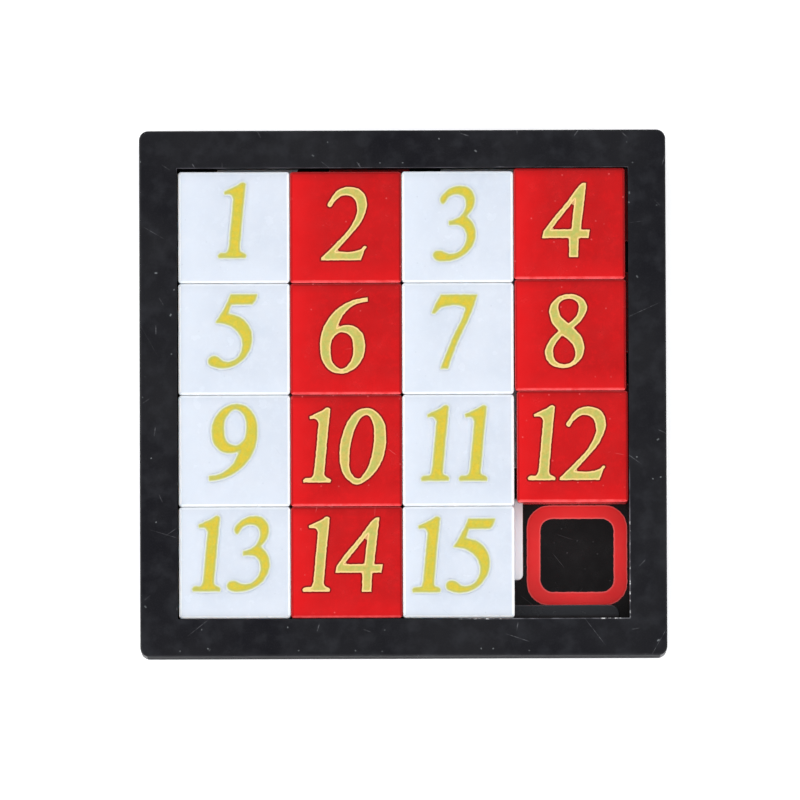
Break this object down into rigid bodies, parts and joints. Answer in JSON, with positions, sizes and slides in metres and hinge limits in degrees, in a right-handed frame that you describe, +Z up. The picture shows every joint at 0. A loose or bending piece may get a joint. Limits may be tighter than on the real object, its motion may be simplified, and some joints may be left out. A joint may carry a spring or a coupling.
{
  "type": "sliding tile puzzle",
  "caption": "Flat square slide puzzle: a black frame and base plate hold interlocking numbered tiles, red and white, round an open cell.",
  "frame": {"origin": "middle of the underside, on the surface the puzzle lies on", "axes": "+X to the right and +Y to the top of the puzzle as its numbers are read; +Z up, out of the tiles' numbered faces"},
  "size_m": [0.08, 0.08, 0.01],
  "materials": {
    "frame_black": "satin",
    "floor_black": "gloss",
    "tile_white": "gloss",
    "tile_red": "gloss",
    "screw_steel": "satin",
    "gold_foil": "satin",
    "red_print": "satin"
  },
  "bodies": {
    "frame": {"bezel_frame": "frame_black", "base_plate": "floor_black", "screw_1": "screw_steel", "screw_2": "screw_steel", "screw_3": "screw_steel", "screw_4": "screw_steel"},
    "tile_01": {"tile_01": "tile_white"},
    "tile_02": {"tile_02": "tile_red"},
    "tile_03": {"tile_03": "tile_white"},
    "tile_04": {"tile_04": "tile_red"},
    "tile_05": {"tile_05": "tile_white"},
    "tile_06": {"tile_06": "tile_red"},
    "tile_07": {"tile_07": "tile_white"},
    "tile_08": {"tile_08": "tile_red"},
    "tile_09": {"tile_09": "tile_white"},
    "tile_10": {"tile_10": "tile_red"},
    "tile_11": {"tile_11": "tile_white"},
    "tile_12": {"tile_12": "tile_red"},
    "tile_13": {"tile_13": "tile_white"},
    "tile_14": {"tile_14": "tile_red"},
    "tile_15": {"tile_15": "tile_white"}
  },
  "joints": [
    {"name": "tile_15_slide", "type": "slide", "parent": "frame", "child": "tile_15", "axis": [1, 0, 0], "range_m": [0, 0.0174]},
    {"name": "tile_14_slide", "type": "slide", "parent": "frame", "child": "tile_14", "axis": [1, 0, 0], "range_m": [0, 0.0174]},
    {"name": "tile_13_slide", "type": "slide", "parent": "frame", "child": "tile_13", "axis": [1, 0, 0], "range_m": [0, 0.0174]},
    {"name": "tile_12_slide", "type": "slide", "parent": "frame", "child": "tile_12", "axis": [0, 1, 0], "range_m": [-0.0175, 0]},
    {"name": "tile_08_slide", "type": "slide", "parent": "frame", "child": "tile_08", "axis": [0, 1, 0], "range_m": [-0.0175, 0]},
    {"name": "tile_04_slide", "type": "slide", "parent": "frame", "child": "tile_04", "axis": [0, 1, 0], "range_m": [-0.0175, 0]},
    {"name": "tile_09_slide", "type": "slide", "parent": "frame", "child": "tile_09", "axis": [0, 1, 0], "range_m": [0, 0.0005]},
    {"name": "tile_05_slide", "type": "slide", "parent": "frame", "child": "tile_05", "axis": [0, 1, 0], "range_m": [0, 0.0005]},
    {"name": "tile_01_slide", "type": "slide", "parent": "frame", "child": "tile_01", "axis": [0, 1, 0], "range_m": [0, 0.0005]},
    {"name": "tile_10_slide", "type": "slide", "parent": "frame", "child": "tile_10", "axis": [0, 1, 0], "range_m": [0, 0.0005]},
    {"name": "tile_06_slide", "type": "slide", "parent": "frame", "child": "tile_06", "axis": [0, 1, 0], "range_m": [0, 0.0005]},
    {"name": "tile_02_slide", "type": "slide", "parent": "frame", "child": "tile_02", "axis": [0, 1, 0], "range_m": [0, 0.0005]},
    {"name": "tile_11_slide", "type": "slide", "parent": "frame", "child": "tile_11", "axis": [0, 1, 0], "range_m": [0, 0.0005]},
    {"name": "tile_07_slide", "type": "slide", "parent": "frame", "child": "tile_07", "axis": [0, 1, 0], "range_m": [0, 0.0005]},
    {"name": "tile_03_slide", "type": "slide", "parent": "frame", "child": "tile_03", "axis": [0, 1, 0], "range_m": [0, 0.0005]}
  ],
  "couplings": [
    {"joint": "tile_14_slide", "follows": "tile_15_slide", "ratio": 1},
    {"joint": "tile_13_slide", "follows": "tile_15_slide", "ratio": 1},
    {"joint": "tile_08_slide", "follows": "tile_12_slide", "ratio": 1},
    {"joint": "tile_04_slide", "follows": "tile_12_slide", "ratio": 1},
    {"joint": "tile_05_slide", "follows": "tile_09_slide", "ratio": 1},
    {"joint": "tile_01_slide", "follows": "tile_09_slide", "ratio": 1},
    {"joint": "tile_06_slide", "follows": "tile_10_slide", "ratio": 1},
    {"joint": "tile_02_slide", "follows": "tile_10_slide", "ratio": 1},
    {"joint": "tile_07_slide", "follows": "tile_11_slide", "ratio": 1},
    {"joint": "tile_03_slide", "follows": "tile_11_slide", "ratio": 1}
  ]
}
